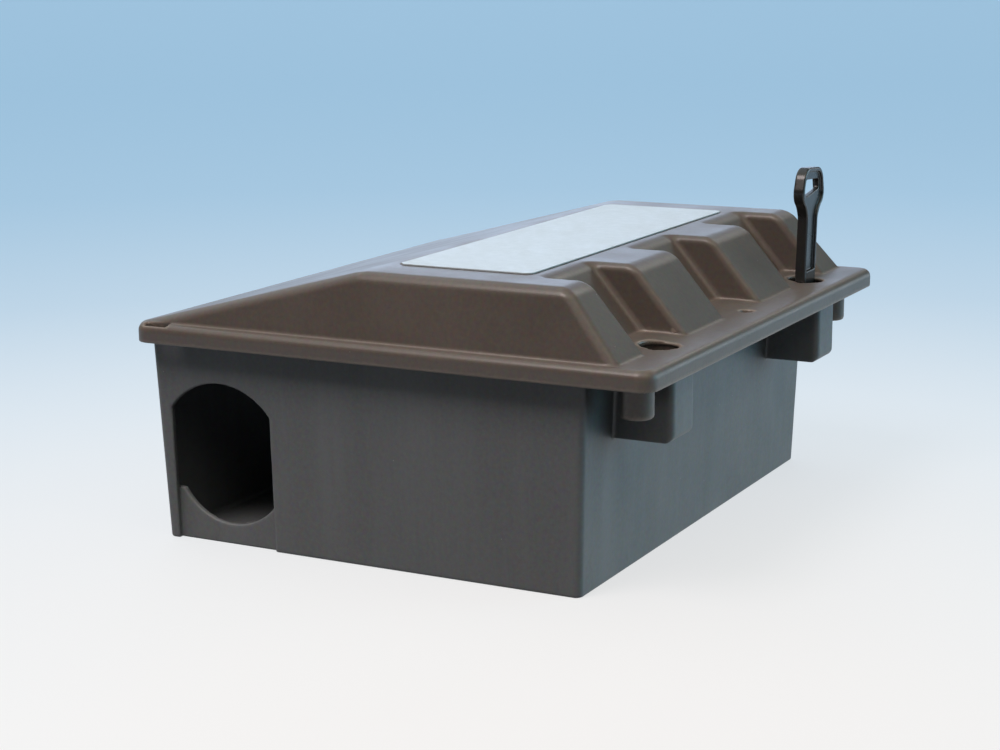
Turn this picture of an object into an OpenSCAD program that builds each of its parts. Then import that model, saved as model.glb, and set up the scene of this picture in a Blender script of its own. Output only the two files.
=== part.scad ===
// Rodent bait station: a drafted base tray with a run-through tunnel along its back wall,
// a hinged lid with two keyed locks, and a removable bait tray with two loaded rods.
// +X runs along the lock side, the lock side faces -Y, +Z is up.
// The origin is the middle of the overall footprint, at floor level.

/* [Base] */
// Length of the base at its foot
base_len = 240; // [236:1:244]
// Distance from the origin to the front foot of the base
base_front = 85.1; // [84:0.1:86]
// Distance from the origin to the rear foot of the base
base_back = 108.3; // [108:0.1:108.5]
// Height of the base rim
base_h = 91.2; // [90.6:0.1:91.3]
// Wall thickness of base and lid
wall = 2.5; // [2.2:0.1:2.8]
// Outward draft of the walls, mm per mm of height
draft = 0.035; // [0.03:0.001:0.037]

/* [Entry holes] */
// Radius of the entry hole
entry_r = 30.5; // [26:0.5:31]
// Half width between the straight sides of the entry hole
entry_half = 24.4; // [20:0.2:25]
// Distance of the entry hole from the origin, towards the back
entry_y = 78.6; // [76:0.2:79]
// Height of the entry hole centre
entry_z = 39; // [37:0.5:41]

/* [Lid] */
// Half length of the flange
lid_x = 132.1; // [131:0.1:133]
// Front edge of the flange
lid_front = 119.2; // [118.5:0.1:119.5]
// Back edge of the flange
lid_back = 114; // [113.9:0.1:114.1]
// Height of the flange's upper face
flange_top = 94.2; // [94.2:0.1:94.6]
// Height of the skirt's lower edge
skirt_z = 86.1; // [86:0.1:86.3]
// Height of the plateau
top_z = 121; // [118:0.5:124]
// Radius of the flange's upper edge
edge_r = 3.5; // [2.5:0.5:4]

/* [Recesses] */
// Distance between the recess centres
rec_pitch = 82; // [80:1:84]
// Width of each recess
rec_w = 40; // [36:1:42]
// Setback of the recess floor from the front slope
rec_deep = 19.6; // [16:0.2:21]

/* [Locks] */
// Distance of each lock from the middle
lock_x = 84.2; // [83.8:0.1:84.3]
// Distance of the locks from the origin, towards the front
lock_y = 101.6; // [101.2:0.1:101.7]
// Distance of each lock housing from the middle
housing_x = 84.2; // [83.8:0.1:84.4]
// Width of each lock housing
housing_w = 21.6; // [21:0.1:22]
// Radius of the key hole in the flange
lock_hole_r = 8; // [7.8:0.1:8.2]
// Running clearance of the lock barrels
run = 0.06; // [0.03:0.01:0.1]

/* [Hinge] */
// Distance of the hinge axis from the origin, towards the back
hinge_y = 115.6; // [115.5:0.1:115.7]
// Height of the hinge axis
hinge_z = 84.5; // [84.4:0.1:84.6]
// Radius of the hinge knuckles
knuckle_r = 3.6; // [3.4:0.1:3.6]
// Radius of the hinge pins
pin_r = 1.6; // [1.4:0.1:1.8]
// Distance of each hinge from the middle
hinge_x = 70; // [50:1:90]

/* [Bait] */
// Length of one bait block
block_len = 38; // [30:1:39]
// Side of one bait block
block_side = 27; // [22:1:28]
// Radius of the bait rods
rod_r = 2; // [1.8:0.1:2.2]
// Height of the bait rods
rod_z = 30; // [28:1:34]

/* [Key] */
// Height of the key's tip
key_top = 146; // [140:1:150]
// Thickness of the key
key_t = 5; // [4.8:0.1:5.4]
// Width of the key's head
head_w = 28.4; // [28:0.2:29]
// Width of the key's stem
stem_w = 14; // [13:0.1:14]
// Sideways lean of the shank above the lid, in degrees
lean = 4; // [0:1:5]

/* [Hidden] */
$fn = 64;
BIG = 400;
// slopes of the lid body
t_end = 5.5 / 26.8;
t_front = 23 / 26.8;
t_back = 0.2635;
foot_x = 128;
foot_y = 104;
ridge_y = 10;
boss_low = 84.9;
head_low = 87.6;
head_top = 90.2;
tongue_low = 71.5;
rod_ys = [-41, 7];
cap_r = 5;

// ---- helpers ----
module rrect(x0, x1, y0, y1, r) {
  translate([x0 + r, y0]) square([x1 - x0 - 2 * r, y1 - y0]);
  translate([x0, y0 + r]) square([x1 - x0, y1 - y0 - 2 * r]);
  for (x = [x0 + r, x1 - r], y = [y0 + r, y1 - r]) translate([x, y]) circle(r = r);
}
module slab(x0, x1, y0, y1, z0, z1, r) {
  translate([0, 0, z0]) linear_extrude(height = z1 - z0) rrect(x0, x1, y0, y1, r);
}
module block(x0, x1, y0, y1, z0, z1) {
  translate([x0, y0, z0]) cube([x1 - x0, y1 - y0, z1 - z0]);
}
// a Y-Z outline drawn out along X
module along_x(x0, x1) {
  translate([x0, 0, 0]) rotate([90, 0, 90]) linear_extrude(height = x1 - x0) children();
}
// an X-Z outline drawn out along Y
module along_y(y0, y1) {
  translate([0, y1, 0]) rotate([90, 0, 0]) linear_extrude(height = y1 - y0) children();
}
module rod_x(x0, x1, y, z, r) {
  translate([x0, y, z]) rotate([0, 90, 0]) cylinder(r = r, h = x1 - x0);
}
module rod_y(y0, y1, x, z, r) {
  translate([x, y0, z]) rotate([-90, 0, 0]) cylinder(r = r, h = y1 - y0);
}
module both_sides() { children(); mirror([1, 0, 0]) children(); }

// drafted box with rounded upright corners
module drafted(in, z0, z1, r) {
  hull() for (z = [z0, z1 - 0.01], sx = [-1, 1], sy = [0, 1])
    translate([sx * (base_len / 2 - in + draft * z - r),
               sy == 0 ? -(base_front - in + draft * z - r) : base_back - in + draft * z - r, z])
      cylinder(r = r, h = 0.01, $fn = 32);
}

// ---- base ----
module housing() {
  intersection() {
    along_x(housing_x - housing_w / 2, housing_x + housing_w / 2) union() {
      translate([-112.4, 61.4]) square([26.4, 23]);
      translate([-109.4, 58.4]) square([23.4, 10]);
      translate([-109.4, 61.4]) circle(r = 3);
    }
    slab(housing_x - housing_w / 2, housing_x + housing_w / 2, -112.4, -80, 57, 85, 2.5);
  }
}
module housing_pocket() {
  block(housing_x - 8.7, housing_x + 8.7, -110.4, -88.7, 61.5, 90);
}
module keeper_ledges() {
  for (s = [-1, 1]) translate([lock_x + s * 7.6, -lock_y + 1, 77.75]) cube([3, 13, 3.5], center = true);
}
module base_knuckles() {
  for (x0 = [hinge_x - 12, hinge_x + 7]) {
    along_x(x0, x0 + 5) polygon([[109.6, 68], [110.7, 68], [hinge_y, 80.9], [hinge_y, 85.6], [109.6, 85.6]]);
    rod_x(x0, x0 + 5, hinge_y, hinge_z, knuckle_r);
  }
}
// stepped-in panel below an entry hole
module entry_panel() {
  block(115.1, 117.6, 50.8, 105.6, 0.9, 22.0);
  block(115.1, 119.4, 51.2, 54.2, 0.9, 22.0);
  block(115.1, 119.4, 103, 105.6, 0.9, 22.0);
}
module entry_cut_outer() {
  intersection() {
    rod_x2(112, 130, entry_y, entry_z, entry_r);
    block(112, 130, entry_y - entry_half, entry_y + entry_half, 21.9, 80);
  }
  block(117.6, 130, 54.2, 103, -1, 22.0);
}
module rod_x2(x0, x1, y, z, r) {
  translate([x0, y, z]) rotate([0, 90, 0]) cylinder(r = r, h = x1 - x0, $fn = 128);
}
module entry_cut_inner() {
  intersection() {
    rod_x2(110, 119.5, 77.2, 36.6, 28);
    block(110, 119.5, entry_y - entry_half, entry_y + entry_half, 2, 22.1);
  }
}
module guides() {
  for (y = [42.3, 47.9]) block(112.6, 118.6, y, y + 2.3, 2, 84);
}
module base_moulding() {
  difference() {
    union() {
      difference() {
        drafted(0, 0, base_h, 3);
        drafted(wall, wall, base_h + 1, 1);
        both_sides() entry_cut_outer();
      }
      both_sides() { entry_panel(); housing(); base_knuckles(); guides(); }
      // seal lug behind the skirt
      slab(-8, 8, -113, -84, 86.8, 89.8, 3);
    }
    both_sides() { entry_cut_inner(); housing_pocket_open(); }
    for (x = [-100, 100], y = [-65, 75]) translate([x, y, -1]) cylinder(r = 2.75, h = 10);
    translate([0, -105.5, 80]) cylinder(r = 3, h = 12);
    both_sides() rod_x(hinge_x - 14, hinge_x + 14, hinge_y, hinge_z, pin_r);
    // keep the seal lug outside the rim
    drafted(wall, 86, 92, 1);
  }
}
module housing_pocket_open() {
  difference() { housing_pocket(); keeper_ledges(); }
}
// The base is one moulding. It is given as its floor, ribs, walls and lock housings,
// which meet face to face.
in_front = -(base_front - wall - 0.2);
in_back = base_back - wall - 0.2;
in_end = 112;
pocket_back = -88.7;
cut_z = wall + 0.3;
module housing_space(side) {
  block(side * housing_x - housing_w / 2, side * housing_x + housing_w / 2, -130, pocket_back, 50, 86);
}
module base_piece() {
  color([0.17, 0.165, 0.17]) intersection() { base_moulding(); children(); }
}
module base_floor() { base_piece() block(-BIG, BIG, -BIG, BIG, -5, cut_z); }
module base_floor_ribs() {
  color([0.17, 0.165, 0.17]) {
    // bosses round the ground-fixing holes
    for (x = [-100, 100], y = [-65, 75]) translate([x, y, wall]) difference() {
      cylinder(r = 7, h = 2);
      translate([0, 0, -1]) cylinder(r = 2.75, h = 5);
    }
    // floor guides for the partition
    for (y = [42.3, 47.9]) block(-112.6, 112.6, y, y + 2.3, wall, 6.5);
    // locating ribs for the bait tray
    for (x = [-74.6, 72.9], y = [-60, 18]) block(x, x + 1.7, y, y + 12, wall, 8);
    for (x = [-50, 38], y = [-72.6, 34.9]) block(x, x + 12, y, y + 1.7, wall, 8);
  }
}
module base_front_wall() {
  base_piece() difference() {
    block(-BIG, BIG, -BIG, in_front, cut_z, BIG);
    housing_space(1); housing_space(-1);
  }
}
module base_rear_wall() { base_piece() block(-BIG, BIG, in_back, BIG, cut_z, BIG); }
module base_end(side) {
  base_piece() block(side > 0 ? in_end : -BIG, side > 0 ? BIG : -in_end, in_front, in_back, cut_z, BIG);
}
module lock_housing(side) { base_piece() housing_space(side); }

// ---- lid ----
module flange_outer() {
  hull() for (sx = [-1, 1], y = [-(lid_front - 7), lid_back - 7])
    translate([sx * (lid_x - 7), y, skirt_z]) {
      cylinder(r = 7, h = flange_top - edge_r - skirt_z, $fn = 48);
      for (a = [15:15:90]) translate([0, 0, flange_top - edge_r - skirt_z + edge_r * sin(a) - 0.01])
        cylinder(r = 7 - edge_r + edge_r * cos(a), h = 0.01, $fn = 48);
    }
}
function back_plane(y) = top_z - (y - ridge_y) * t_back;
module lid_body_outer() {
  r = cap_r;
  ce = cos(atan(t_end)); cf = cos(atan(t_front)); cb = cos(atan(t_back));
  zc = top_z - r;
  zl = back_plane(109) - r / cb;
  hull() for (s = [-1, 1]) {
    translate([s * (foot_x - (zc - flange_top) * t_end - r / ce), -foot_y + (zc - flange_top) * t_front + r / cf, zc]) sphere(r = r, $fn = 32);
    translate([s * (foot_x - (zc - flange_top) * t_end - r / ce), ridge_y - r * 0.13, zc]) sphere(r = r, $fn = 32);
    translate([s * (foot_x - (90 - flange_top) * t_end - r / ce), -foot_y + (90 - flange_top) * t_front + r / cf, 90]) sphere(r = r, $fn = 32);
    translate([s * (foot_x - (zl - flange_top) * t_end - r / ce), 109 - r, zl]) sphere(r = r, $fn = 32);
  }
}
// inner space of the lid body, sunk by dz
module lid_body_inner(dz) {
  w = wall;
  translate([0, 0, -dz]) intersection() {
    along_x(-130, 130) polygon([
      [-foot_y + w * 1.32 - 12 * t_front, flange_top - 12],
      [-foot_y + w * 1.32 + (top_z - w - flange_top) * t_front, top_z - w],
      [ridge_y - 0.3, top_z - w],
      [109, back_plane(109) - w * 1.035],
      [109, flange_top - 12]]);
    along_y(-130, 130) polygon([
      [-(foot_x - w + 12 * t_end), flange_top - 12], [foot_x - w + 12 * t_end, flange_top - 12],
      [foot_x - w - (top_z - flange_top) * t_end, top_z], [-(foot_x - w - (top_z - flange_top) * t_end), top_z]]);
  }
}
module recess(cx, grow) {
  along_x(cx - rec_w / 2 - grow, cx + rec_w / 2 + grow) polygon([
    [-foot_y + rec_deep + grow * 1.32 - (grow > 0 ? 12 * t_front : 0), flange_top - (grow > 0 ? 12 : 0)],
    [-foot_y + rec_deep + grow * 1.32 + (top_z + 12 - flange_top) * t_front, top_z + 12],
    [-140, top_z + 12], [-140, flange_top - (grow > 0 ? 12 : 0)]]);
}
module lid_ribs() {
  color([0.24, 0.19, 0.16]) intersection() {
    difference() { lid_body_inner(0); lid_body_inner(5); }
    for (x = [-41, 41]) block(x - 0.9, x + 0.9, -57, 104, 92, 125);
  }
}
module lid_knuckle() {
  rod_x(hinge_x - 6.6, hinge_x + 6.6, hinge_y, hinge_z, knuckle_r);
}
module lid_post() {
  translate([111.5, -104.7, 73.3]) cylinder(r = 6.6, h = flange_top - wall - 73.3);
  translate([111.5, -104.7, 71.8]) cylinder(r = 5.1, h = 10);
  translate([111.5, -104.7, 73.3]) rotate_extrude() translate([5.1, 0]) circle(r = 1.5, $fn = 32);
}
module lid_moulding() {
  difference() {
    union() {
      difference() {
        union() { flange_outer(); intersection() { lid_body_outer(); block(-130, 130, -130, 113.9, 87, 130); } }
        for (i = [-1, 0, 1]) recess(i * rec_pitch, 0);
        difference() {
          union() {
            slab(-(lid_x - wall), lid_x - wall, -(lid_front - wall), lid_back - 2, skirt_z - 1, flange_top - wall, 4.5);
            lid_body_inner(0);
          }
          for (i = [-1, 0, 1]) difference() {
            recess(i * rec_pitch, wall);
            block(-BIG, BIG, -BIG, BIG, skirt_z - 2, flange_top - wall);
          }
        }
      }
      both_sides() {
        lid_knuckle();
        translate([lock_x, -lock_y, boss_low]) cylinder(r = 11.4, h = flange_top - 1.5 - boss_low);
      }
    }
    both_sides() {
      translate([lock_x, -lock_y, 80]) cylinder(r = lock_hole_r, h = 30);
      translate([lock_x, -lock_y, 80]) cylinder(r = 9.6, h = head_top + 0.2 - 80);
      translate([lock_x, -lock_y, head_top]) cylinder(r = 8.9, h = flange_top - 1.4 - head_top);
      translate([0, 0, 90]) linear_extrude(height = 10) rrect(127.4, 130.4, 97.2, 108.8, 1.0);
      rod_x(hinge_x - 14, hinge_x + 14, hinge_y, hinge_z, pin_r + 0.05);
      for (x0 = [hinge_x - 12.4, hinge_x + 6.6]) rod_x(x0, x0 + 5.8, hinge_y, hinge_z, knuckle_r + 0.5);
    }
    translate([0, -105.5, 80]) cylinder(r = 3, h = 30);
    // shallow groove round the label
    difference() {
      slab(-100.6, 100.6, -55.2, 5.1, top_z - 0.4, top_z + 2, 4.1);
      slab(-99.4, 99.4, -54.0, 3.9, top_z - 2, top_z + 1, 3.5);
    }
  }
}
// The lid is one moulding too, given as its top, front, ends, rear edge, ribs, posts and lock seats.
seat = 11.4;
module front_space() {
  y0 = -foot_y + rec_deep + wall * 1.32 + 0.05;
  along_x(-BIG, BIG) polygon([[-BIG, 60], [y0, 60], [y0, flange_top], [y0 + (130 - flange_top) * t_front, 130], [-BIG, 130]]);
}
module roof_space() {
  zc = top_z - wall - 0.05;
  y0 = -foot_y + rec_deep + wall * 1.32 + 0.05;
  along_x(-BIG, BIG) polygon([[y0 + (zc - flange_top) * t_front, zc], [ridge_y - 0.3, zc],
    [110, back_plane(110) - wall * 1.035 - 0.05], [110, 130], [y0 + (130 - flange_top) * t_front, 130]]);
}
module rear_space() { block(-BIG, BIG, 108.9, BIG, 60, 130); }
module seat_space(side) {
  block(side * lock_x - seat, side * lock_x + seat, -lock_y - seat, -lock_y + seat, 80, flange_top + 0.5);
}
module lid_piece() {
  color([0.24, 0.19, 0.16]) intersection() { lid_moulding(); children(); }
}
module lid_top() { lid_piece() difference() { roof_space(); rear_space(); } }
module lid_front() { lid_piece() difference() { front_space(); seat_space(1); seat_space(-1); } }
module lid_rear_edge() { lid_piece() rear_space(); }
module lid_end(side) {
  lid_piece() difference() {
    block(side > 0 ? foot_x - wall - 7 : -BIG, side > 0 ? BIG : -(foot_x - wall - 7), -BIG, BIG, 60, 130);
    front_space(); roof_space(); rear_space();
  }
}
module lock_seat(side) { lid_piece() seat_space(side); }
module lid_posts() { color([0.24, 0.19, 0.16]) both_sides() lid_post(); }
module label() {
  color([0.82, 0.87, 0.93]) slab(-100, 100, -54.6, 4.5, top_z, top_z + 0.5, 3.5);
}

// ---- hinge ----
module hinge_pin(side) {
  color([0.7, 0.7, 0.72]) rod_x(side * hinge_x - 12, side * hinge_x + 12, hinge_y, hinge_z, pin_r);
}

// ---- locks ----
module lock_barrel(side) {
  color([0.08, 0.08, 0.085]) translate([side * lock_x, -lock_y, 0]) difference() {
    union() {
      translate([0, 0, head_low]) cylinder(r = 9.6 - run, h = head_top - head_low);
      translate([0, 0, tongue_low]) cylinder(r = 5.6, h = head_low + 0.1 - tongue_low);
      intersection() {
        translate([0, 0, tongue_low]) cylinder(r = 7.2, h = 3.9);
        translate([-4.6, -9, tongue_low]) cube([9.2, 18, 3.9]);
      }
    }
    translate([-stem_w / 2 - 0.15, -key_t / 2 - 0.15, 88.6]) cube([stem_w + 0.3, key_t + 0.3, 5]);
    translate([-3.85, -2.5, 75.2]) cube([7.7, 5, 16]);
  }
}
module lock_washer(side) {
  color([0.75, 0.75, 0.77]) translate([side * lock_x, -lock_y, 86.9]) difference() {
    cylinder(r = 9.3, h = 0.6);
    translate([0, 0, -1]) cylinder(r = 6.0, h = 3);
  }
}
module lock_retainer(side) {
  color([0.12, 0.12, 0.125]) translate([side * lock_x, -lock_y, 85]) difference() {
    cylinder(r = 9.6, h = 1.8);
    translate([0, 0, -1]) cylinder(r = 5.6 + run, h = 4);
  }
}
// the shank leans from here up
lean_z = 96;
module leaning() { translate([0, lean_z]) rotate(-lean) translate([0, -lean_z]) children(); }
module shank(w) {
  d = (127 - lean_z) * tan(lean);
  polygon([[-w, 88.75], [-w, lean_z], [d - w, 127], [d + w, 127], [w, lean_z], [w, 88.75]]);
}
module shank_web(w, z0) {
  d = (127 - lean_z) * tan(lean);
  e = (z0 - lean_z) * tan(lean);
  polygon([[e - w, z0], [d - w, 127], [d + w, 127], [e + w, z0]]);
}
module key_head(in) {
  hw = head_w / 2;
  leaning() hull() {
    for (s = [-1, 1]) {
      translate([s * (hw - 7.2), key_top - 4.88]) circle(r = 4.5 - in, $fn = 32);
      translate([s * (hw - 3.6), key_top - 13]) circle(r = 3.6 - in, $fn = 32);
    }
    translate([in - stem_w / 2, 126]) square([stem_w - 2 * in, 0.1]);
  }
}
module key() {
  rim = 1.8;
  color([0.05, 0.05, 0.055]) translate([lock_x, 0, 0]) difference() {
    union() {
      // looped head on a flat stem
      along_y(-lock_y - key_t / 2, -lock_y + key_t / 2) difference() {
        union() { key_head(0); shank(stem_w / 2); }
        leaning() hull() {
          translate([-5.6, 137.3]) circle(r = 2.8, $fn = 32);
          translate([-6.2, 134.8]) circle(r = 2.4, $fn = 32);
          translate([8.2, 137.2]) circle(r = 1.6, $fn = 32);
          translate([8, 138.6]) circle(r = 1.6, $fn = 32);
        }
      }
      // nose that enters the barrel
      block(-3.7, 3.7, -lock_y - 2.35, -lock_y + 2.35, 75.6, 89);
    }
    // sunk web on both faces of the head and the stem
    for (y0 = [-lock_y - key_t / 2 - 1, -lock_y + key_t / 2 - 1.2])
      along_y(y0, y0 + 2.2) union() {
        key_head(rim);
        shank_web(stem_w / 2 - rim, 99);
      }
  }
}

// ---- inside ----
module partition() {
  color([0.2, 0.2, 0.205]) difference() {
    union() {
      block(-116.2, 116.2, 45, 47.5, 6.8, 90);
      block(-116.2, 116.2, 45, 47.5, 2.9, 7);
      slab(-108, 108, 41, 51.5, 88, 90, 3);
    }
    for (x = [-52, 52]) {
      rod_y(30, 60, x, 42, 25);
      block(x - 25, x + 25, 30, 60, 8, 42);
    }
  }
}
module bait_tray() {
  color([0.13, 0.13, 0.135]) difference() {
    union() {
      difference() {
        slab(-72, 72, -70, 34, 2.7, 17, 5);
        slab(-70, 70, -68, 32, 4.7, 18, 3.5);
      }
      for (s = [-1, 1], y = rod_ys) {
        along_x(s > 0 ? 69 : -72, s > 0 ? 72 : -69) union() {
          translate([y - 7, 10]) square([14, rod_z - 8]);
          translate([y - 7 + 3, rod_z + 2]) square([8, 3]);
          for (k = [-4, 4]) translate([y + k, rod_z + 2]) circle(r = 3);
        }
      }
      // centre rib
      block(-70.5, 70.5, -18, -16, 4, 9);
    }
    for (y = rod_ys) {
      rod_x(-75, 75, y, rod_z, rod_r + 0.05);
      block(-75, 75, y - rod_r + 0.25, y + rod_r - 0.25, rod_z, rod_z + 10);
    }
  }
}
module bait_rod(y) {
  color([0.72, 0.72, 0.74]) {
    rod_x(-77, 80, y, rod_z, rod_r);
    translate([80, y, rod_z + 5]) rotate([90, 90, 0]) rotate_extrude(angle = 90) translate([5, 0]) circle(r = rod_r);
    translate([85, y, rod_z + 5]) cylinder(r = rod_r, h = 11);
    translate([85, y, rod_z + 16]) sphere(r = rod_r);
  }
}
module rod_stops(y) {
  color([0.1, 0.1, 0.1]) for (x = [-67.5, 63.5]) difference() {
    rod_x(x, x + 4, y, rod_z, 5);
    rod_x(x - 1, x + 5, y, rod_z, rod_r);
  }
}
module bait_block(i) {
  y = rod_ys[floor(i / 3)];
  xc = (i % 3 - 1) * (block_len + 3);
  h = block_side / 2;
  color([0.35, 0.1, 0.08]) along_x(xc - block_len / 2, xc + block_len / 2) translate([y, rod_z]) difference() {
    square([block_side, block_side], center = true);
    for (s = [-1, 1], k = [-1, 0, 1]) {
      translate([s * (h + 0.6), k * block_side * 0.29]) circle(r = 2.2);
      translate([k * block_side * 0.29, s * (h + 0.6)]) circle(r = 2.2);
    }
    circle(r = rod_r + 0.1);
  }
}

base_floor();
base_floor_ribs();
base_front_wall();
base_rear_wall();
base_end(-1);  // base_left_end
base_end(1);  // base_right_end
lock_housing(-1);  // lock_housing_left
lock_housing(1);  // lock_housing_right
lid_top();
lid_front();
lid_rear_edge();
lid_end(-1);  // lid_left_end
lid_end(1);  // lid_right_end
lid_ribs();
lid_posts();
lock_seat(-1);  // lock_seat_left
lock_seat(1);  // lock_seat_right
label();
hinge_pin(-1);  // hinge_pin_left
hinge_pin(1);  // hinge_pin_right
lock_barrel(-1);  // lock_barrel_left
lock_barrel(1);  // lock_barrel_right
lock_washer(-1);  // lock_washer_left
lock_washer(1);  // lock_washer_right
lock_retainer(-1);  // lock_retainer_left
lock_retainer(1);  // lock_retainer_right
key();
partition();
bait_tray();
bait_rod(rod_ys[0]);  // bait_rod_front
bait_rod(rod_ys[1]);  // bait_rod_rear
rod_stops(rod_ys[0]);  // rod_stops_front
rod_stops(rod_ys[1]);  // rod_stops_rear
bait_block(0);  // bait_block_1
bait_block(1);  // bait_block_2
bait_block(2);  // bait_block_3
bait_block(3);  // bait_block_4
bait_block(4);  // bait_block_5
bait_block(5);  // bait_block_6
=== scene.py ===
import bpy, math
import numpy as np
from concurrent.futures import ThreadPoolExecutor
from mathutils import Vector, Matrix


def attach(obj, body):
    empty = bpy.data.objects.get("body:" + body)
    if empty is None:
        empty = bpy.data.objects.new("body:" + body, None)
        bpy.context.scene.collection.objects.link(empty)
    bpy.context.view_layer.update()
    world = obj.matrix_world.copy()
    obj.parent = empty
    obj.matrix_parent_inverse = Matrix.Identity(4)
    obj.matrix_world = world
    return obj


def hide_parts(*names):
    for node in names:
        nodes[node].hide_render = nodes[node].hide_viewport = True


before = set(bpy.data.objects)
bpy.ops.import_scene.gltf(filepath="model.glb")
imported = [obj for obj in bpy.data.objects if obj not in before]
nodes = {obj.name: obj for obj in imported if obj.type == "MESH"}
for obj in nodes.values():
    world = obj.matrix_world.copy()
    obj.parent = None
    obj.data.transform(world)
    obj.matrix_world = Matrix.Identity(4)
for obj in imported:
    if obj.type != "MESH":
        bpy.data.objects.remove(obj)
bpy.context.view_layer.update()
D = bpy.data
F32 = np.float32

# ------------------------------------------------------------------ solid modelling
def vmax(*a):
    r = a[0]
    for b in a[1:]:
        r = np.maximum(r, b)
    return r

def vmin(*a):
    r = a[0]
    for b in a[1:]:
        r = np.minimum(r, b)
    return r

def cut_round(a, b, r):
    """Intersection of a and b whose shared edge is rounded."""
    u = np.maximum(a + r, 0.0); v = np.maximum(b + r, 0.0)
    return np.minimum(np.maximum(a, b), -r) + np.sqrt(u * u + v * v)

def join_round(a, b, r):
    """Union of a and b with a fillet of radius r."""
    u = np.maximum(r - a, 0.0); v = np.maximum(r - b, 0.0)
    return np.maximum(np.minimum(a, b), r) - np.sqrt(u * u + v * v)

def plan_rect(X, Y, x0, x1, y0, y1, r):
    qx = np.abs(X - (x0 + x1) / 2) - (x1 - x0) / 2 + r
    qy = np.abs(Y - (y0 + y1) / 2) - (y1 - y0) / 2 + r
    return np.sqrt(np.maximum(qx, 0) ** 2 + np.maximum(qy, 0) ** 2) + np.minimum(np.maximum(qx, qy), 0) - r

def box3(X, Y, Z, x0, x1, y0, y1, z0, z1, r=0.4):
    qx = np.abs(X - (x0 + x1) / 2) - (x1 - x0) / 2 + r
    qy = np.abs(Y - (y0 + y1) / 2) - (y1 - y0) / 2 + r
    qz = np.abs(Z - (z0 + z1) / 2) - (z1 - z0) / 2 + r
    return np.sqrt(np.maximum(qx, 0) ** 2 + np.maximum(qy, 0) ** 2 + np.maximum(qz, 0) ** 2) + np.minimum(vmax(qx, qy, qz), 0) - r

def cyl(A, B, C, a, b, r, c0, c1, e=0.4):
    """Cylinder along the third coordinate, with edge rounding e."""
    d = np.sqrt((A - a) ** 2 + (B - b) ** 2) - r
    h = np.abs(C - (c0 + c1) / 2) - (c1 - c0) / 2
    return cut_round(d, h, e)

def surface_net(f, lo, hi, h):
    """Closed quad mesh of the zero level of f, in millimetres, with its points moved onto the surface."""
    n = [int(math.ceil((hi[i] - lo[i]) / h)) + 1 for i in range(3)]
    ax = [(lo[i] + h * np.arange(n[i])).astype(F32) for i in range(3)]
    V = np.empty(n, F32)
    step = 12
    def fill(i0):
        i1 = min(i0 + step, n[0])
        X, Y, Z = np.meshgrid(ax[0][i0:i1], ax[1], ax[2], indexing="ij")
        V[i0:i1] = f(X, Y, Z)
    with ThreadPoolExecutor(4) as ex:
        list(ex.map(fill, range(0, n[0], step)))
    S = V < 0
    c = S[:-1, :-1, :-1]
    allin = c.copy(); anyin = c.copy()
    for dx in (0, 1):
        for dy in (0, 1):
            for dz in (0, 1):
                s = S[dx:n[0] - 1 + dx, dy:n[1] - 1 + dy, dz:n[2] - 1 + dz]
                allin &= s; anyin |= s
    act = anyin & ~allin
    idx = np.argwhere(act)
    num = -np.ones(act.shape, np.int32)
    num[act] = np.arange(len(idx))
    P = np.zeros((len(idx), 3)); W = np.zeros(len(idx))
    corner = [(a, b, c_) for a in (0, 1) for b in (0, 1) for c_ in (0, 1)]
    val = {k: V[idx[:, 0] + k[0], idx[:, 1] + k[1], idx[:, 2] + k[2]] for k in corner}
    for k in corner:
        for axis in range(3):
            if k[axis] == 0:
                q = list(k); q[axis] = 1; q = tuple(q)
                a, b = val[k], val[q]
                m = (a < 0) != (b < 0)
                t = np.where(m, a / np.where(m, a - b, 1), 0)
                pt = np.tile(np.array(k, float), (len(idx), 1)); pt[:, axis] = t
                P[m] += pt[m]; W[m] += 1
    P = P / W[:, None] + idx
    P = P * h + np.array(lo)
    # faces
    quads = []
    for axis in range(3):
        o = [i for i in range(3) if i != axis]
        sl0 = [slice(None)] * 3; sl1 = [slice(None)] * 3
        sl0[axis] = slice(0, n[axis] - 1); sl1[axis] = slice(1, n[axis])
        A, B = S[tuple(sl0)], S[tuple(sl1)]
        e = np.argwhere(A != B)
        ok = (e[:, o[0]] > 0) & (e[:, o[1]] > 0) & (e[:, o[0]] < n[o[0]] - 1) & (e[:, o[1]] < n[o[1]] - 1)
        e = e[ok]
        inside_first = A[e[:, 0], e[:, 1], e[:, 2]]
        def cell(d0, d1):
            q = e.copy(); q[:, o[0]] -= d0; q[:, o[1]] -= d1
            return num[q[:, 0], q[:, 1], q[:, 2]]
        q = np.stack([cell(1, 1), cell(0, 1), cell(0, 0), cell(1, 0)], 1)
        flip = inside_first if axis != 1 else ~inside_first
        q[~flip] = q[~flip][:, ::-1]
        quads.append(q)
    Q = np.concatenate(quads)
    # move the points onto the surface
    e = 0.05
    for _ in range(3):
        X, Y, Z = (P[:, i].astype(np.float64) for i in range(3))
        v = f(X, Y, Z)
        g = np.stack([f(X + e, Y, Z) - f(X - e, Y, Z), f(X, Y + e, Z) - f(X, Y - e, Z), f(X, Y, Z + e) - f(X, Y, Z - e)], 1) / (2 * e)
        g2 = np.maximum((g * g).sum(1), 0.2)
        d = -(v / g2)[:, None] * g
        L = np.sqrt((d * d).sum(1))
        d *= np.minimum(1, 0.35 * h / np.maximum(L, 1e-9))[:, None]
        P = P + d
    return P, Q

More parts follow.
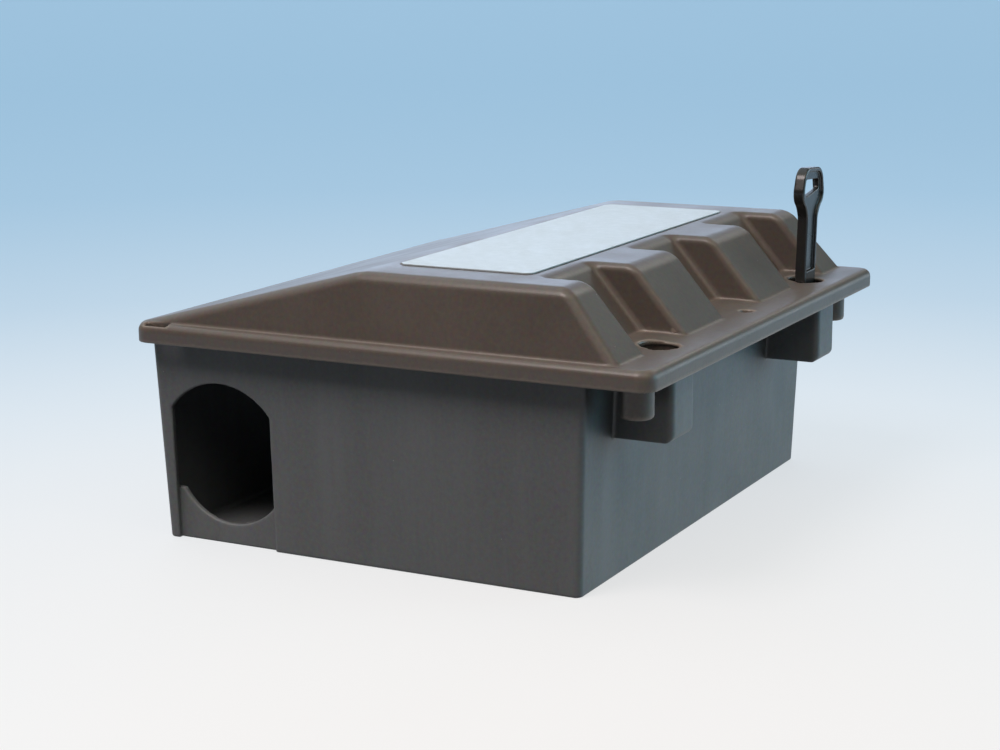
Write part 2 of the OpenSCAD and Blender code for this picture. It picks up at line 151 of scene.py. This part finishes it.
def make_mesh(name, P, Q, thin=0.0):
    me = D.meshes.new(name)
    me.vertices.add(len(P)); me.vertices.foreach_set("co", (P / 1000).astype(F32).ravel())
    me.loops.add(Q.size); me.loops.foreach_set("vertex_index", Q.astype(np.int32).ravel())
    me.polygons.add(len(Q))
    me.polygons.foreach_set("loop_start", np.arange(0, Q.size, 4, dtype=np.int32))
    me.polygons.foreach_set("loop_total", np.full(len(Q), 4, np.int32))
    me.update(calc_edges=True); me.validate()
    o = D.objects.new(name, me)
    bpy.context.scene.collection.objects.link(o)
    if thin:
        m = o.modifiers.new("thin", "DECIMATE"); m.ratio = thin
        dg = bpy.context.evaluated_depsgraph_get()
        new = D.meshes.new_from_object(o.evaluated_get(dg))
        o.modifiers.clear(); o.data = new; new.name = name
    o.data.polygons.foreach_set("use_smooth", np.ones(len(o.data.polygons), bool))
    o.data.update()
    return o

# ------------------------------------------------------------------ lid
TE, TF, TB = 5.5 / 26.8, 23 / 26.8, 0.2635
CE, CF, CB = (1 / math.sqrt(1 + t * t) for t in (TE, TF, TB))
TOP, FT = 121.0, 94.2
LX, LY = 84.2, 101.6            # lock axes

def turn_radius(R, deg):
    a = math.radians(deg)
    return R * math.tan(a / 2) * math.sin(a)

def lid_body(X, Y, Z, grow=0.0):
    """Raised body with its three recesses; grow moves its surfaces outwards (negative: inwards)."""
    g = grow
    end = (np.abs(X) - (128 - (Z - FT) * TE)) * CE - g
    front = ((-104 + (Z - FT) * TF) - Y) * CF - g
    back = (Z - (TOP - (Y - 10) * TB)) * CB - g
    top = Z - TOP - g
    k = 0.0 if g == 0 else 2.5
    b = cut_round(top, back, turn_radius(30 - k, 14.8))
    b = cut_round(b, front, turn_radius(10 - k, 49.4))
    b = cut_round(b, end, turn_radius(5.0 - 0.6 * k, 78.4))
    # recesses
    cx = np.clip(np.round(X / 82.0), -1, 1) * 82.0
    side = np.abs(X - cx) - 20 + g
    floor = (Y - (-84.4 + (Z - FT) * TF)) * CF + g
    foot = (FT - Z) + g
    r = cut_round(side, floor, 2.7 + 0.6 * k)
    if g == 0:
        r = np.maximum(r, foot)
        b = cut_round(b, -r, 3.0)
    else:
        r = np.maximum(r, foot - 40)
        b = cut_round(b, -r, 1.0)
    return b

def lid_field(X, Y, Z):
    aX = np.abs(X)
    plan = plan_rect(X, Y, -132.1, 132.1, -119.2, 114.0, 7.0)
    fl = cut_round(plan, Z - FT, 3.5)
    fl = cut_round(fl, 86.1 - Z, 0.5)
    body = np.maximum(lid_body(X, Y, Z), 91.0 - Z)
    body = np.maximum(body, plan + 1.0)
    # crisp joint below the ridges, fuller fillet at the foot of each recess
    cx = np.clip(np.round(X / 82.0), -1, 1) * 82.0
    fill = np.clip((21.0 - np.abs(X - cx)) / 5.0, 0, 1) * np.clip((-82.0 - Y) / 6.0, 0, 1) * np.clip((Y + 101.0) / 6.0, 0, 1)
    out = join_round(fl, body, 0.8 + 2.4 * fill)
    # shell
    inner_plan = plan_rect(X, Y, -129.6, 129.6, -116.7, 112.0, 4.6)
    c1 = cut_round(inner_plan, Z - 91.7, 1.2)
    c2 = np.maximum(lid_body(X, Y, Z, -2.5), inner_plan)
    cav = join_round(c1, c2, 1.0)
    # ribs under the plateau
    deep = np.maximum(lid_body(X, Y, Z + 5.0, -2.5), inner_plan)
    rib = vmax(np.abs(np.abs(X) - 41) - 0.9, -deep, 92.2 - Z, Y - 106)
    cav = np.maximum(cav, -rib)
    s = np.maximum(out, -cav)
    # lock bosses
    boss = cyl(aX, Y, Z, LX, -LY, 11.4, 84.9, 93.0, 0.5)
    s = join_round(s, boss, 0.8)
    # corner posts
    post = cyl(aX, Y, Z, 111.5, -104.7, 6.6, 71.8, 93.0, 1.4)
    s = join_round(s, post, 0.8)
    # hinge knuckles
    kn = cyl(Y, Z, aX, 115.6, 84.5, 3.6, 63.4, 76.6, 0.4)
    s = join_round(s, kn, 0.7)
    # holes
    hole = np.sqrt((aX - LX) ** 2 + (Y + LY) ** 2)
    s = cut_round(s, -(hole - 8.0), 0.3)
    s = np.maximum(s, -np.maximum(hole - 9.6, Z - 90.4))
    s = np.maximum(s, -np.maximum(hole - 8.9, Z - 92.8))
    seal = np.sqrt(X ** 2 + (Y + 105.5) ** 2) - 3.0
    s = cut_round(s, -seal, 0.4)
    slot = np.maximum(plan_rect(aX, Y, 127.7, 130.5, 97.2, 108.8, 1.0), 88 - Z)
    s = cut_round(s, -slot, 0.2)
    ax_r = np.sqrt((Y - 115.6) ** 2 + (Z - 84.5) ** 2)
    s = np.maximum(s, -np.maximum(ax_r - 1.65, np.abs(aX - 70) - 14))
    notch = np.maximum(ax_r - 4.1, np.abs(np.abs(aX - 70) - 9.5) - 2.9)
    s = np.maximum(s, -notch)
    # groove round the label
    gr = np.abs(plan_rect(X, Y, -100, 100, -54.6, 4.5, 3.6) - 0.0) - 0.55
    s = np.maximum(s, -np.maximum(gr, 120.55 - Z))
    return s

# ------------------------------------------------------------------ base
def base_plan(X, Y, Z, r=3.0):
    k = 0.035 * Z
    qx = np.abs(X) - (120 + k) + r
    qy = np.abs(Y - 11.6) - (96.7 + k) + r
    return np.sqrt(np.maximum(qx, 0) ** 2 + np.maximum(qy, 0) ** 2) + np.minimum(np.maximum(qx, qy), 0) - r

def base_field(X, Y, Z):
    aX = np.abs(X)
    plan = base_plan(X, Y, Z)
    # faint sinks on the front wall over the inner ribs
    sink = 0.22 * np.exp(-(((aX - 92) / 9) ** 2 + ((Z - 40) / 15) ** 2) ** 2) * (Y < -70)
    out = cut_round(plan + sink, -Z, 0.9)
    out = cut_round(out, Z - 91.2, 0.5)
    inn = cut_round(plan + 2.5, 2.5 - Z, 2.0)
    s = np.maximum(out, -inn)
    # entry hole, outer wall
    ring = np.sqrt((Y - 78.6) ** 2 + (Z - 39) ** 2) - 30.5
    outer = vmax(ring, np.abs(Y - 78.6) - 24.4, 21.9 - Z)
    pocket = vmax(117.6 - aX, np.abs(Y - 78.6) - 24.4, Z - 22.0)
    hole_o = np.minimum(np.maximum(outer, 112 - aX), pocket)
    s = cut_round(s, -hole_o, 0.45)
    panel = vmin(box3(aX, Y, Z, 115.1, 117.6, 50.8, 105.6, 0.9, 22.0, 0.35),
                 box3(aX, Y, Z, 115.1, 119.4, 51.2, 54.2, 0.9, 22.0, 0.2),
                 box3(aX, Y, Z, 115.1, 119.4, 103.0, 105.6, 0.9, 22.0, 0.2))
    s = np.minimum(s, panel)
    ring2 = np.sqrt((Y - 77.2) ** 2 + (Z - 36.6) ** 2) - 28.0
    inner = vmax(ring2, np.abs(Y - 78.6) - 24.4, 2.6 - Z, aX - 119.5, 112 - aX)
    s = cut_round(s, -inner, 0.45)
    # lock housings
    dx = np.abs(aX - LX)
    hs = plan_rect(aX, Y, 73.4, 95.0, -112.4, -70, 2.5)
    hs = cut_round(hs, 58.4 - Z, 0.6)
    hs = cut_round(hs, ((-109.4 - Y) + (61.4 - Z) - 3.6) * 0.7071, 0.8)
    hs = vmax(hs, Z - 84.4, plan * -1 - 1.5)
    s = join_round(s, hs, 0.9)
    pk = box3(aX, Y, Z, 75.5, 92.9, -110.4, -88.7, 61.5, 95, 0.8)
    led = box3(dx, Y, Z, 6.1, 9.1, -107.1, -94.1, 76.0, 79.5, 0.3)
    s = np.maximum(s, -np.maximum(pk, -led))
    # hinge brackets
    bx = np.abs(np.abs(aX - 70) - 9.5) - 2.5
    arm = vmax(bx, Y - 115.6, Z - 85.6, ((Y - 110.7) * 12.9 - (Z - 68) * 4.9) / 13.8, -plan - 1.6, 100 - Y)
    kn = cut_round(np.sqrt((Y - 115.6) ** 2 + (Z - 84.5) ** 2) - 3.6, bx, 0.4)
    s = join_round(s, np.minimum(arm, kn), 0.6)
    s = np.maximum(s, -np.maximum(np.sqrt((Y - 115.6) ** 2 + (Z - 84.5) ** 2) - 1.6, np.abs(aX - 70) - 14))
    # guides for the partition
    gd = vmin(box3(aX, Y, Z, 112.6, 118.6, 42.3, 44.6, 2, 84, 0.4), box3(aX, Y, Z, 112.6, 118.6, 47.9, 50.2, 2, 84, 0.4),
              box3(X, Y, Z, -116, 116, 42.3, 44.6, 1.5, 6.5, 0.4), box3(X, Y, Z, -116, 116, 47.9, 50.2, 1.5, 6.5, 0.4))
    ribs = vmin(box3(aX, Y, Z, 72.9, 74.6, -60, -48, 1.5, 8, 0.4), box3(aX, Y, Z, 72.9, 74.6, 18, 30, 1.5, 8, 0.4),
                box3(aX, Y, Z, 38, 50, -72.6, -70.9, 1.5, 8, 0.4), box3(aX, Y, Z, 38, 50, 34.9, 36.6, 1.5, 8, 0.4))
    by = np.where(Y > 5, 75.0, -65.0)
    bd = np.sqrt((aX - 100) ** 2 + (Y - by) ** 2)
    boss = cut_round(bd - 7, np.abs(Z - 2.75) - 1.75, 0.5)
    add = vmin(gd, ribs, boss)
    add = np.maximum(add, plan + 1.0)
    s = join_round(s, add, 0.5)
    s = cut_round(s, -(bd - 2.75), 0.3)
    # seal lug
    lug = vmax(cut_round(plan_rect(X, Y, -8, 8, -113, -80, 3), np.abs(Z - 88.3) - 1.5, 0.4), -plan - 1.6)
    s = join_round(s, lug, 0.6)
    s = cut_round(s, -(np.sqrt(X ** 2 + (Y + 105.5) ** 2) - 3.0), 0.3)
    s = np.maximum(s, -np.maximum(plan + 2.5, 84.2 - Z))
    return s

# ------------------------------------------------------------------ key
def hull2(A, B, circles):
    """Signed distance to the convex hull of circles given anticlockwise as (a, b, r)."""
    d = None
    n = len(circles)
    for i in range(n):
        a0, b0, r0 = circles[i]; a1, b1, r1 = circles[(i + 1) % n]
        da, db = a1 - a0, b1 - b0; L = math.hypot(da, db)
        s = (r0 - r1) / L; c = math.sqrt(1 - s * s)
        ta, tb = da / L, db / L
        na, nb = tb * c + ta * s, -ta * c + tb * s
        e = (A - a0) * na + (B - b0) * nb - r0
        d = e if d is None else np.maximum(d, e)
    # round the corners where the point lies beyond both neighbouring sides
    best = None
    for i in range(n):
        a0, b0, r0 = circles[i]
        m = []
        for k, l in ((i - 1, i), (i, (i + 1) % n)):
            a, b, r = circles[k]; a1, b1, r1 = circles[l]
            da, db = a1 - a, b1 - b; L = math.hypot(da, db)
            s = (r - r1) / L; c = math.sqrt(1 - s * s)
            m.append((db / L * c + da / L * s, -da / L * c + db / L * s))
        (pa, pb), (qa, qb) = m
        u, v = A - a0, B - b0
        inside = (pa * v - pb * u >= 0) & (qa * v - qb * u <= 0)
        rr = np.sqrt(u * u + v * v) - r0
        d = np.where(inside & (u * (pa + qa) + v * (pb + qb) > 0), rr, d)
    return d

LEAN = math.radians(4)

def key_head(P_, Q_, k):
    h = 14.2
    return hull2(P_, Q_, [(7.0 - k, 126, 0.05), (h - 6.6, 134.2, 6.6 - k), (5.4, 138.0, 7.6 - k), (-5.4, 138.0, 7.6 - k),
                          (-(h - 6.6), 134.2, 6.6 - k), (-(7.0 - k), 126, 0.05)])

def shank(x, Z, w, z0):
    c = x - np.maximum(Z - 96, 0) * math.tan(LEAN)
    return vmax(np.abs(c) - w, Z - 127.5, z0 - Z)

def key_field(X, Y, Z):
    x = X - LX; y = Y + LY
    # coordinates along and across the leaning shank
    p = x * math.cos(LEAN) - (Z - 96) * math.sin(LEAN)
    q = 96 + x * math.sin(LEAN) + (Z - 96) * math.cos(LEAN)
    prof = join_round(key_head(p, q, 0.0), shank(x, Z, 7.0, 88.75), 4.0)
    loop = hull2(p, q, [(-6.2, 134.8, 2.4), (8.2, 137.2, 1.6), (8.0, 138.6, 1.6), (-5.6, 137.3, 2.8)])
    k = cut_round(prof, np.abs(y) - 2.5, 0.7)
    nose = box3(x, y, Z, -3.7, 3.7, -2.35, 2.35, 75.6, 90, 0.4)
    k = np.minimum(k, nose)
    # sunk web on both faces
    web = join_round(key_head(p, q, 1.8), shank(x, Z, 5.2, 99.0), 3.0)
    web = cut_round(web, 1.3 - np.abs(y), 0.4)
    k = cut_round(k, -web, 0.35)
    k = cut_round(k, -loop, 0.35)
    return k

fine = 0.8
P, Q = surface_net(lid_field, (-134, -121, 70.4), (134, 121, 123), fine)
lid = make_mesh("lid_moulding", P, Q, 0.45)
P, Q = surface_net(base_field, (-126, -115, -2), (126, 121, 93), fine)
base = make_mesh("base_moulding", P, Q, 0.4)
P, Q = surface_net(key_field, (69.4, -105.6, 74), (103.6, -97.6, 148), 0.35)
key = make_mesh("key_moulding", P, Q, 0.7)
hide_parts("lid_top", "lid_front", "lid_rear_edge", "lid_left_end", "lid_right_end", "lid_ribs", "lid_posts",
            "lock_seat_left", "lock_seat_right"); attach(lid, "lid")
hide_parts("base_floor", "base_floor_ribs", "base_front_wall", "base_rear_wall", "base_left_end", "base_right_end",
            "lock_housing_left", "lock_housing_right"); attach(base, "base")
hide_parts("key"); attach(key, "key")

# ------------------------------------------------------------------ materials
class Mat:
    def __init__(self, name, rough=0.5, spec=0.5, metallic=0.0):
        self.m = D.materials.new(name); self.m.use_nodes = True
        self.t = self.m.node_tree; self.n = self.t.nodes
        self.b = self.n["Principled BSDF"]
        self.b.inputs["Roughness"].default_value = rough
        self.b.inputs["Specular IOR Level"].default_value = spec
        self.b.inputs["Metallic"].default_value = metallic
        self.co = self.n.new("ShaderNodeTexCoord").outputs["Object"]
    def link(self, a, b): self.t.links.new(a, b)
    def noise(self, scale, detail=3, rough=0.5, vec=None, stretch=None):
        n = self.n.new("ShaderNodeTexNoise")
        n.inputs["Scale"].default_value = scale; n.inputs["Detail"].default_value = detail; n.inputs["Roughness"].default_value = rough
        v = vec or self.co
        if stretch:
            mp = self.n.new("ShaderNodeMapping"); mp.inputs["Scale"].default_value = stretch
            self.link(v, mp.inputs["Vector"]); v = mp.outputs["Vector"]
        self.link(v, n.inputs["Vector"])
        return n.outputs["Fac"]
    def ramp(self, src, stops):
        r = self.n.new("ShaderNodeValToRGB"); self.link(src, r.inputs["Fac"])
        e = r.color_ramp.elements
        while len(e) < len(stops): e.new(0.5)
        for el, (p, c) in zip(e, stops):
            el.position = p; el.color = (*c, 1) if len(c) == 3 else c
        return r.outputs["Color"]
    def mix(self, fac, a, b, mode="MIX"):
        m = self.n.new("ShaderNodeMix"); m.data_type = "RGBA"; m.blend_type = mode
        for s, v in ((m.inputs[0], fac), (m.inputs[6], a), (m.inputs[7], b)):
            if isinstance(v, bpy.types.NodeSocket): self.link(v, s)
            elif isinstance(v, (int, float)): s.default_value = v
            else: s.default_value = (*v, 1)
        return m.outputs[2]
    def math(self, op, a, b=0.0, c=None):
        m = self.n.new("ShaderNodeMath"); m.operation = op
        for i, v in enumerate((a, b) if c is None else (a, b, c)):
            if isinstance(v, bpy.types.NodeSocket): self.link(v, m.inputs[i])
            else: m.inputs[i].default_value = v
        return m.outputs[0]
    def color(self, src): self.link(src, self.b.inputs["Base Color"])
    def rough(self, src): self.link(src, self.b.inputs["Roughness"])
    def bump(self, *layers):
        prev = None
        for src, strength, dist in layers:
            b = self.n.new("ShaderNodeBump"); b.inputs["Strength"].default_value = strength; b.inputs["Distance"].default_value = dist
            self.link(src, b.inputs["Height"])
            if prev: self.link(prev, b.inputs["Normal"])
            prev = b.outputs["Normal"]
        self.link(prev, self.b.inputs["Normal"])

def rgb(c, k): return tuple(min(1, v * k) for v in c)

def moulded(name, col, warm=None, rough=0.45, grain=1700, grain_h=0.00004, spec=0.5, specks=True, flow=0.0, edge=0.35, mottle=0.9):
    M = Mat(name, rough, spec)
    warm = warm or rgb(col, 1.25)
    broad = M.noise(9, 4, 0.55)
    c = M.ramp(broad, [(0.3, rgb(col, 0.9)), (0.7, warm)])
    # faint mottling of tone and hue
    mt = M.n.new("ShaderNodeTexNoise"); mt.inputs["Scale"].default_value = 520; mt.inputs["Detail"].default_value = 4; mt.inputs["Roughness"].default_value = 0.65
    M.link(M.co, mt.inputs["Vector"])
    ma = M.n.new("ShaderNodeVectorMath"); ma.operation = "MULTIPLY_ADD"
    M.link(mt.outputs["Color"], ma.inputs[0]); ma.inputs[1].default_value = (mottle,) * 3; ma.inputs[2].default_value = (1 - mottle / 2,) * 3
    mm = M.n.new("ShaderNodeMix"); mm.data_type = "RGBA"; mm.blend_type = "MULTIPLY"; mm.inputs[0].default_value = 1.0
    M.link(c, mm.inputs[6]); M.link(ma.outputs[0], mm.inputs[7]); c = mm.outputs[2]
    fine_n = M.noise(grain, 2, 0.6)
    c = M.mix(M.math("MULTIPLY", fine_n, 0.35), c, rgb(col, 0.72), "MIX")
    if flow:
        fl = M.noise(1.0, 5, 0.6, stretch=(55, 55, 3.5))
        fr = M.ramp(fl, [(0.42, (0, 0, 0)), (0.62, (1, 1, 1))])
        c = M.mix(M.math("MULTIPLY", fr, flow), c, rgb(col, 1.35))
    # painted highlight: edges and fillets picked out by pointiness are lightened towards a bright warm copper tone,
    # standing in for the lamp's reflection on rounded edges; a noise breaks the painted band up
    if edge:
        g = M.n.new("ShaderNodeNewGeometry")
        e = M.ramp(g.outputs["Pointiness"], [(0.435, (1, 1, 1)), (0.492, (0, 0, 0)), (0.508, (0, 0, 0)), (0.55, (1, 1, 1))])
        highlight_breakup = M.noise(60, 4, 0.6)
        c = M.mix(M.math("MULTIPLY", M.math("MULTIPLY", e, highlight_breakup), edge), c, rgb(warm, 2.6))
    if specks:
        v = M.n.new("ShaderNodeTexVoronoi"); v.inputs["Scale"].default_value = 95
        M.link(M.co, v.inputs["Vector"])
        dot = M.math("LESS_THAN", v.outputs["Distance"], 0.022)
        c = M.mix(M.math("MULTIPLY", dot, 0.55), c, (0.45, 0.42, 0.38))
    M.color(c)
    rn = M.noise(35, 4, 0.6)
    M.rough(M.ramp(rn, [(0.3, (rough * 0.88,) * 3), (0.7, (min(1, rough * 1.12),) * 3)]))
    M.bump((fine_n, 0.5, grain_h), (M.noise(grain * 0.35, 2, 0.5), 0.35, grain_h * 1.6), (M.noise(22, 2, 0.5), 0.25, 0.0006))
    return M.m

def metal(name, col=(0.62, 0.62, 0.64), rough=0.3, axis=(6, 900, 900)):
    M = Mat(name, rough, 0.5, 1.0)
    s = M.noise(1.0, 4, 0.6, stretch=axis)
    M.color(M.ramp(s, [(0.3, rgb(col, 0.85)), (0.7, rgb(col, 1.1))]))
    M.rough(M.ramp(s, [(0.3, (rough * 0.8,) * 3), (0.7, (rough * 1.3,) * 3)]))
    M.bump((s, 0.3, 0.00003), (M.noise(120, 3), 0.15, 0.00005))
    return M.m

# edge sets the strength of the painted edge highlight in each material
lid_mat = moulded("lid_plastic", (0.122, 0.097, 0.083), (0.134, 0.104, 0.086), 0.39, edge=0.95)
base_mat = moulded("base_plastic", (0.160, 0.171, 0.182), (0.173, 0.180, 0.187), 0.48, flow=0.3, edge=0.12, spec=0.38)
inner_mat = moulded("inner_plastic", (0.050, 0.050, 0.054), rough=0.5, specks=False, edge=0.2)
lock_mat = moulded("lock_plastic", (0.022, 0.022, 0.024), rough=0.38, specks=False, edge=0.2)
key_mat = moulded("key_plastic", (0.020, 0.019, 0.019), rough=0.26, grain=900, grain_h=0.00002, specks=False, edge=0.3, spec=0.6)
rubber_mat = moulded("stop_rubber", (0.018, 0.018, 0.018), rough=0.72, specks=False, edge=0.1)
steel_mat = metal("steel")

def label_material():
    M = Mat("label_face", 0.42, 0.4)
    fn = M.noise(1400, 3, 0.7)
    sp = M.ramp(fn, [(0.30, (0.485, 0.542, 0.582)), (0.62, (0.543, 0.598, 0.634))])
    broad = M.noise(14, 3, 0.5)
    c = M.mix(M.math("MULTIPLY", broad, 0.25), sp, (0.58, 0.636, 0.66))
    M.color(c)
    M.rough(M.ramp(M.noise(300, 3), [(0.3, (0.36,) * 3), (0.7, (0.52,) * 3)]))
    M.bump((fn, 0.35, 0.00003), (M.noise(40, 2), 0.2, 0.0002))
    return M.m

def wax_material():
    M = Mat("bait_wax", 0.55, 0.35)
    n1 = M.noise(160, 5, 0.65)
    c = M.ramp(n1, [(0.3, (0.16, 0.020, 0.016)), (0.55, (0.24, 0.034, 0.022)), (0.75, (0.33, 0.075, 0.035))])
    v = M.n.new("ShaderNodeTexVoronoi"); v.inputs["Scale"].default_value = 420; M.link(M.co, v.inputs["Vector"])
    g = M.math("LESS_THAN", v.outputs["Distance"], 0.28)
    c = M.mix(M.math("MULTIPLY", g, 0.45), c, (0.50, 0.33, 0.12))
    M.color(c)
    M.b.inputs["Subsurface Weight"].default_value = 0.15
    M.b.inputs["Subsurface Radius"].default_value = (0.004, 0.001, 0.0006)
    M.bump((n1, 0.4, 0.0004), (v.outputs["Distance"], 0.3, 0.0004))
    return M.m

label_mat, wax_mat = label_material(), wax_material()

def set_mat(o, m):
    o.data.materials.clear(); o.data.materials.append(m)

set_mat(lid, lid_mat)
set_mat(base, base_mat)
set_mat(key, key_mat)
by_node = {"label": label_mat, "hinge_pin_left": steel_mat, "hinge_pin_right": steel_mat,
           "lock_barrel_left": lock_mat, "lock_barrel_right": lock_mat, "lock_washer_left": steel_mat, "lock_washer_right": steel_mat,
           "lock_retainer_left": lock_mat, "lock_retainer_right": lock_mat, "partition": inner_mat, "bait_tray": inner_mat,
           "bait_rod_front": steel_mat, "bait_rod_rear": steel_mat, "rod_stops_front": rubber_mat, "rod_stops_rear": rubber_mat}
for i in range(1, 7):
    by_node[f"bait_block_{i}"] = wax_mat
for n, m in by_node.items():
    o = nodes[n]
    for s in range(max(1, len(o.material_slots))):
        if len(o.material_slots) <= s: o.data.materials.append(m)
        else: o.material_slots[s].material = m
    w = {"label": 0.12, "partition": 0.5, "bait_tray": 0.5}.get(n, 0.3)
    if n.startswith("bait_block"): w = 0.5
    if not n.startswith(("bait_rod", "lock_washer", "hinge_pin")):
        b = o.modifiers.new("edge", "BEVEL"); b.width = w / 1000; b.segments = 2; b.limit_method = "ANGLE"
        b.angle_limit = math.radians(35); b.harden_normals = True; b.use_clamp_overlap = True

# ------------------------------------------------------------------ stage
def plane(name, size, z, mat):
    me = D.meshes.new(name); s = size / 2
    me.from_pydata([(-s, -s, z), (s, -s, z), (s, s, z), (-s, s, z)], [], [(0, 1, 2, 3)])
    o = D.objects.new(name, me); bpy.context.scene.collection.objects.link(o); me.materials.append(mat)
    return o
# pale floor that turns light blue with distance; it glows with that tone, painted light standing in for lamp light,
# and keeps only a small lamp-lit share, so shadows on it stay faint
FM = Mat("floor_pale", 0.9, 0.1)
dist = FM.n.new("ShaderNodeVectorMath"); dist.operation = "DISTANCE"; FM.link(FM.co, dist.inputs[0]); dist.inputs[1].default_value = (-0.30, -0.16, 0)
far = FM.math("MULTIPLY", dist.outputs["Value"], 1 / 3.0)
stops = [(0.0, (0.890, 0.870, 0.865)), (0.07, (0.895, 0.885, 0.880)), (0.18, (0.745, 0.810, 0.872)), (0.30, (0.500, 0.650, 0.790)), (0.50, (0.370, 0.570, 0.757)), (1.0, (0.342, 0.548, 0.742))]
tone = FM.ramp(far, stops)
tone.node.color_ramp.interpolation = "B_SPLINE"
FM.color(FM.mix(1.0, tone, (0.22, 0.22, 0.22), "MULTIPLY"))
# painted light: the glow, not the lamps, gives the floor most of its brightness
FM.link(tone, FM.b.inputs["Emission Color"]); FM.b.inputs["Emission Strength"].default_value = 0.80
floor = plane("floor", 30, 0.0, FM.m)
floor.visible_diffuse = False

world = D.worlds.new("studio"); bpy.context.scene.world = world; world.use_nodes = True
wt = world.node_tree; bg = wt.nodes["Background"]
tc = wt.nodes.new("ShaderNodeTexCoord")
LOBES = [  # direction, tightness, colour
    ((0.25, 0.65, 0.70), 8, (1.22, 1.41, 1.49)),
    ((0.86, 0.46, 0.16), 30, (1.78, 2.22, 2.91)),
    ((0.84, -0.52, -0.08), 40, (4.30, 3.90, 4.05)),
    ((0.60, -0.78, 0.12), 16, (1.30, 3.00, 3.70)),
    ((-0.25, -0.20, 0.95), 8, (1.44, 1.45, 1.27)),
]
total = None
for axis, tight, col in LOBES:
    dp = wt.nodes.new("ShaderNodeVectorMath"); dp.operation = "DOT_PRODUCT"; dp.inputs[1].default_value = Vector(axis).normalized()
    mx = wt.nodes.new("ShaderNodeMath"); mx.operation = "MAXIMUM"; mx.inputs[1].default_value = 0.0
    pw = wt.nodes.new("ShaderNodeMath"); pw.operation = "POWER"; pw.inputs[1].default_value = tight
    ad = wt.nodes.new("ShaderNodeVectorMath"); ad.operation = "MULTIPLY_ADD"; ad.inputs[1].default_value = col; ad.inputs[2].default_value = (0.003, 0.003, 0.003)
    wt.links.new(tc.outputs["Generated"], dp.inputs[0]); wt.links.new(dp.outputs["Value"], mx.inputs[0]); wt.links.new(mx.outputs[0], pw.inputs[0]); wt.links.new(pw.outputs[0], ad.inputs[0])
    if total: wt.links.new(total, ad.inputs[2])
    total = ad.outputs[0]
wt.links.new(total, bg.inputs["Color"]); bg.inputs["Strength"].default_value = 1.0

def area(name, loc, target, size, energy, color):
    l = D.lights.new(name, "AREA"); l.shape = "RECTANGLE"; l.size, l.size_y = size; l.energy = energy; l.color = color
    o = D.objects.new(name, l); bpy.context.scene.collection.objects.link(o)
    o.location = loc; o.rotation_mode = "QUATERNION"
    o.rotation_quaternion = (Vector(target) - Vector(loc)).to_track_quat("-Z", "Y")
    return o
area("left_soft", (-0.80, 0.25, 1.25), (0, 0, 0.06), (0.6, 0.6), 10.6, (1.0, 0.90, 0.88))
area("front_spark", (-0.38, -0.86, 1.02), (0, 0, 0.06), (0.22, 0.22), 0.9, (1.0, 0.84, 0.66))
area("right_soft", (1.10, -0.20, 0.85), (0, 0, 0.06), (0.4, 0.4), 1.2, (0.96, 1.0, 0.96))

# ------------------------------------------------------------------ camera
cam = D.cameras.new("camera"); co = D.objects.new("camera", cam); bpy.context.scene.collection.objects.link(co)
cam.sensor_width = 36; cam.lens = 74.06; cam.clip_start = 0.05; cam.clip_end = 60
yaw, pitch, roll = math.radians(62.33), math.radians(12.16), -0.0082
fwd = Vector((math.sin(yaw) * math.cos(pitch), math.cos(yaw) * math.cos(pitch), -math.sin(pitch)))
rgt = Vector((math.cos(yaw), -math.sin(yaw), 0)); up = rgt.cross(fwd)
R = rgt * math.cos(roll) + up * math.sin(roll); U = -rgt * math.sin(roll) + up * math.cos(roll)
co.matrix_world = Matrix(((R.x, U.x, -fwd.x, -0.8007), (R.y, U.y, -fwd.y, -0.4082), (R.z, U.z, -fwd.z, 0.2506), (0, 0, 0, 1)))
bpy.context.scene.camera = co
bpy.context.scene.view_settings.view_transform = "Standard"
